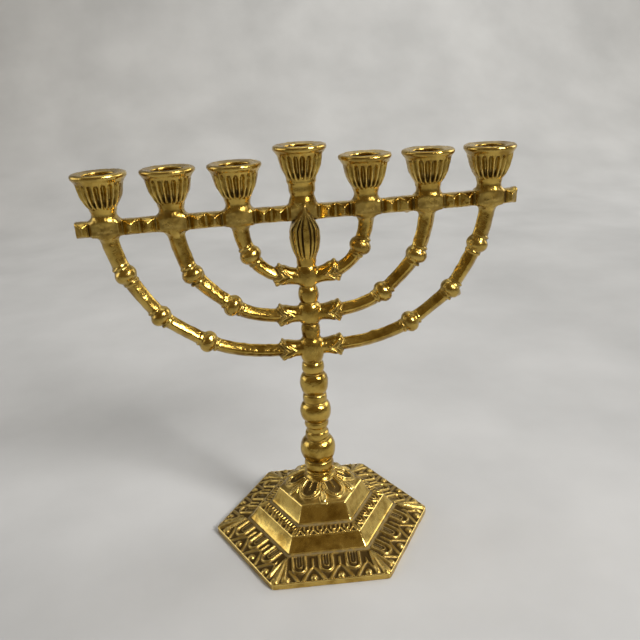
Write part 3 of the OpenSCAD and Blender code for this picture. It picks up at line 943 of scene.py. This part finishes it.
def brass_material(name, polish=1.0, grit=0.5, tint=(0.53, 0.355, 0.075)):
    """Cast brass: worn bright edges, dark patina and painted shade in the sunken parts, pale polish residue
    with a painted sheen, fine grain and smears.
    """
    mat = bpy.data.materials.new(name)
    mat.use_nodes = True
    nt = mat.node_tree
    bsdf = nt.nodes["Principled BSDF"]

    def node(kind, **values):
        n = nt.nodes.new(kind)
        for key, value in values.items():
            setattr(n, key, value)
        return n

    def link(a, b):
        nt.links.new(a, b)

    def math_node(op, a, b=None, clamp=False):
        n = node("ShaderNodeMath", operation=op, use_clamp=clamp)
        for i, v in enumerate((a, b)):
            if v is None:
                continue
            if hasattr(v, "is_output"):
                link(v, n.inputs[i])
            else:
                n.inputs[i].default_value = v
        return n.outputs[0]

    def mix(fac, a, b):
        n = node("ShaderNodeMix", data_type="RGBA")
        link(fac, n.inputs[0])
        for i, v in ((6, a), (7, b)):
            if hasattr(v, "is_output"):
                link(v, n.inputs[i])
            else:
                n.inputs[i].default_value = (*v, 1)
        return n.outputs[2]

    coords = node("ShaderNodeTexCoord").outputs["Object"]

    def grain(scale, detail=3.0, rough=0.55):
        n = node("ShaderNodeTexNoise")
        n.inputs["Scale"].default_value = scale
        n.inputs["Detail"].default_value = detail
        n.inputs["Roughness"].default_value = rough
        link(coords, n.inputs["Vector"])
        return n.outputs["Fac"]

    hollow_patina_shade, worn, dust, matte = (node("ShaderNodeAttribute", attribute_name=key).outputs["Fac"]
                               for key in ("hollow_patina_shade", "worn", "dust", "matte"))
    cloud, mottle, speck = grain(210, 4.0), grain(650), grain(2600, 2.0)
    # the sunken parts get dark patina and painted shade, broken up by the mottle; this also roughens them
    patina_shade_mix = math_node("MULTIPLY", hollow_patina_shade, math_node("ADD", math_node("MULTIPLY", mottle, 1.7), 0.7), clamp=True)
    smear = math_node("MULTIPLY", math_node("SUBTRACT", cloud, 0.44, clamp=True), 4.5, clamp=True)
    clear = (tint[0] * 1.12, tint[1] * 1.14, tint[2] * 1.2)
    smeared = (tint[0] * 0.62, tint[1] * 0.55, tint[2] * 0.4)
    colour = mix(smear, clear, smeared)
    bright = math_node("MULTIPLY", worn, 0.8, clamp=True)
    colour = mix(bright, colour, WORN_BRASS)
    colour = mix(math_node("MULTIPLY", matte, mottle), colour, RAW_SKIN)
    colour = mix(patina_shade_mix, colour, PATINA_AND_SHADE)
    # pale polish residue and painted sheen, in patches; it also roughens the surface
    patches = math_node("MULTIPLY", math_node("SUBTRACT", mottle, 0.3, clamp=True), 2.6)
    dust = math_node("MULTIPLY", dust, patches, clamp=True)
    dust = math_node("MULTIPLY", dust, 0.6)
    colour = mix(dust, colour, POLISH_DUST_AND_SHEEN)
    link(colour, bsdf.inputs["Base Color"])
    bsdf.inputs["Metallic"].default_value = 1.0
    rough = math_node("ADD", math_node("MULTIPLY", mottle, 0.2), 0.09 + 0.1 * (1 - polish))
    rough = math_node("ADD", rough, math_node("MULTIPLY", patina_shade_mix, 0.35))
    rough = math_node("SUBTRACT", rough, math_node("MULTIPLY", bright, 0.05))
    rough = math_node("ADD", rough, math_node("MULTIPLY", dust, 0.4))
    rough = math_node("ADD", rough, math_node("MULTIPLY", matte, 0.14))
    link(rough, bsdf.inputs["Roughness"])
    bump = node("ShaderNodeBump")
    bump.inputs["Strength"].default_value = grit
    bump.inputs["Distance"].default_value = 0.00016
    relief = math_node("ADD", math_node("MULTIPLY", mottle, 1.0), math_node("MULTIPLY", speck, 0.35))
    link(relief, bump.inputs["Height"])
    link(bump.outputs[0], bsdf.inputs["Normal"])
    return mat


brass = brass_material("cast_brass")
base_brass = brass_material("base_brass", tint=(0.62, 0.425, 0.105), grit=0.25)
steel = brass_material("washer_steel", 0.6, 0.3, (0.45, 0.45, 0.44))

for name, low in (("outer", 62), ("middle", 74), ("inner", 86)):
    reach = BRANCHES[name][-1][0] + 7
    net = member_net(branch_member(name), (0.2, -5.2, low), (reach, 5.2, BAR_Z + 2.5))
    cast_piece(f"branch_{name}_right_cast", f"branch_{name}_right", net, brass)
    cast_piece(f"branch_{name}_left_cast", f"branch_{name}_left", net, brass, mirror=True)
net = member_net(stem_member, (-7, -7, 19.5), (7, 7, STEM_TOP + 3))
cast_piece("stem_cast", "stem", net, brass)
net = member_net(bud_member, (-6, -6, STEM_TOP - 3), (6, 6, BAR_Z + 2))
cast_piece("bud_cast", "stem_bud", net, brass)
net = member_net(bar_member, (-BAR_END - 1, -5.6, BAR_Z - 4.6), (BAR_END + 1, 5.6, BAR_TOP + 4))
cast_piece("crossbar_cast", "crossbar", net, brass)
CUP_LO, CUP_TOP = (-9, -9, BAR_TOP - 3.5), BAR_TOP + CUP_H + 1
net = member_net(side_cup_member, CUP_LO, (9, 9, CUP_TOP))
for name, place in (("outer_left", -3), ("middle_left", -2), ("inner_left", -1),
                    ("inner_right", 1), ("middle_right", 2), ("outer_right", 3)):
    cast_piece(f"cup_{name}_cast", f"candle_cup_{name}", net, brass, shift=place * PITCH)
net = member_net(centre_cup_member, CUP_LO, (9, 9, BAR_TOP + CUP_H + LIFT + 1))
cast_piece("cup_centre_cast", "candle_cup_centre", net, brass)
build_base(base_brass)
build_fixings(brass, steel)


# ---------------------------------------------------------------- studio
def area_light(name, place, target, size, power, colour, spread=180):
    lamp = bpy.data.lights.new(name, "AREA")
    lamp.shape = "RECTANGLE"
    lamp.size, lamp.size_y = size
    lamp.energy = power
    lamp.color = colour
    lamp.spread = math.radians(spread)
    o = bpy.data.objects.new(name, lamp)
    bpy.context.scene.collection.objects.link(o)
    o.location = place
    o.rotation_euler = (Vector(target) - Vector(place)).to_track_quat("-Z", "Y").to_euler()


# The photo's camera, fitted to the base's corners and the cups' rims: degrees, mm and metres
YAW, PITCH_DOWN, ROLL = -6.794, 20.341, -3.32
LENS, SENSOR = 39.187575, 36
CAMERA_AT = (-0.022252, -0.214199, 0.159066)


def camera():
    yaw, pitch, roll = map(math.radians, (YAW, PITCH_DOWN, ROLL))
    fwd = Vector((-math.sin(yaw) * math.cos(pitch), math.cos(yaw) * math.cos(pitch), -math.sin(pitch)))
    right = Vector((math.cos(yaw), math.sin(yaw), 0))
    up = right.cross(fwd)
    r2 = math.cos(roll) * right + math.sin(roll) * up
    u2 = -math.sin(roll) * right + math.cos(roll) * up
    data = bpy.data.cameras.new("camera")
    data.sensor_width = SENSOR
    data.lens = LENS
    data.clip_start, data.clip_end = 0.01, 10
    o = bpy.data.objects.new("camera", data)
    bpy.context.scene.collection.objects.link(o)
    m = Matrix((r2, u2, -fwd)).transposed().to_4x4()
    m.translation = Vector(CAMERA_AT)
    o.matrix_world = m
    bpy.context.scene.camera = o


# The floor, in metres: its front edge, where it starts to rise, the rise's radius, the wall's top, half width
FRONT, RISE, BEND, WALL_TOP, HALF_WIDE = -1.6, 0.5, 0.4, 2.0, 2.0


def build_floor():
    """A pale, plain sweep: flat under the part, curving up into a wall behind it."""
    curve = [(FRONT, 0.0), (RISE, 0.0)]
    for t in np.linspace(0, math.pi / 2, 13)[1:]:
        curve.append((RISE + BEND * math.sin(t), BEND - BEND * math.cos(t)))
    curve.append((RISE + BEND, WALL_TOP))
    verts = [(x, y, z) for y, z in curve for x in (-HALF_WIDE, HALF_WIDE)]
    faces = [(2 * k, 2 * k + 1, 2 * k + 3, 2 * k + 2) for k in range(len(curve) - 1)]
    mesh = bpy.data.meshes.new("floor")
    mesh.from_pydata(verts, [], faces)
    for polygon in mesh.polygons:
        polygon.use_smooth = True
    floor = bpy.data.objects.new("floor", mesh)
    bpy.context.scene.collection.objects.link(floor)
    mat = bpy.data.materials.new("linen")
    mat.use_nodes = True
    nt = mat.node_tree
    bsdf = nt.nodes["Principled BSDF"]
    coords = nt.nodes.new("ShaderNodeTexCoord")
    grain = nt.nodes.new("ShaderNodeTexNoise")
    grain.inputs["Scale"].default_value = 14
    grain.inputs["Detail"].default_value = 6
    nt.links.new(coords.outputs["Object"], grain.inputs["Vector"])
    ramp = nt.nodes.new("ShaderNodeValToRGB")
    stops = ((0.3, (0.46, 0.465, 0.465, 1)), (0.7, (0.55, 0.555, 0.555, 1)))
    for element, (position, colour) in zip(ramp.color_ramp.elements, stops):
        element.position = position
        element.color = colour
    nt.links.new(grain.outputs["Fac"], ramp.inputs["Fac"])
    nt.links.new(ramp.outputs["Color"], bsdf.inputs["Base Color"])
    bsdf.inputs["Roughness"].default_value = 0.95
    mesh.materials.append(mat)


def build_world():
    """Dim in front, where the photographer stands, and bright behind and above."""
    world = bpy.data.worlds.new("studio")
    bpy.context.scene.world = world
    world.use_nodes = True
    nt = world.node_tree
    coords = nt.nodes.new("ShaderNodeTexCoord")
    split = nt.nodes.new("ShaderNodeSeparateXYZ")
    ramp = nt.nodes.new("ShaderNodeMapRange")
    ramp.interpolation_type = "SMOOTHSTEP"
    for key, value in (("From Min", -0.5), ("From Max", 0.7), ("To Min", 0), ("To Max", 1)):
        ramp.inputs[key].default_value = value
    mix = nt.nodes.new("ShaderNodeMix")
    mix.data_type = "RGBA"
    mix.inputs[6].default_value = (0.17, 0.125, 0.06, 1)
    mix.inputs[7].default_value = (0.74, 0.78, 0.84, 1)
    nt.links.new(coords.outputs["Generated"], split.inputs[0])
    nt.links.new(split.outputs["Y"], ramp.inputs["Value"])
    nt.links.new(ramp.outputs["Result"], mix.inputs[0])
    nt.links.new(mix.outputs[2], nt.nodes["Background"].inputs["Color"])


camera()
build_floor()
build_world()
bpy.context.scene.view_settings.view_transform = "Standard"
TARGET = (0, 0, 0.075)
area_light("window", (0.42, -0.44, 0.52), TARGET, (0.2, 0.3), 0.66, (1, 0.98, 0.96), 60)
area_light("side_left", (-0.75, 0.15, 0.35), TARGET, (0.5, 0.5), 1.1, (1, 0.99, 0.98))
area_light("side_right", (0.75, 0.25, 0.4), TARGET, (0.5, 0.4), 1.6, (1, 0.99, 0.98))
area_light("sky", (0, 0.2, 1.1), TARGET, (0.8, 0.5), 1.4, (0.97, 0.98, 1))
area_light("wall", (0.35, 0.25, 1.2), (0.35, 0.9, 0.45), (0.8, 0.3), 4.6, (1, 1, 0.99), 110)
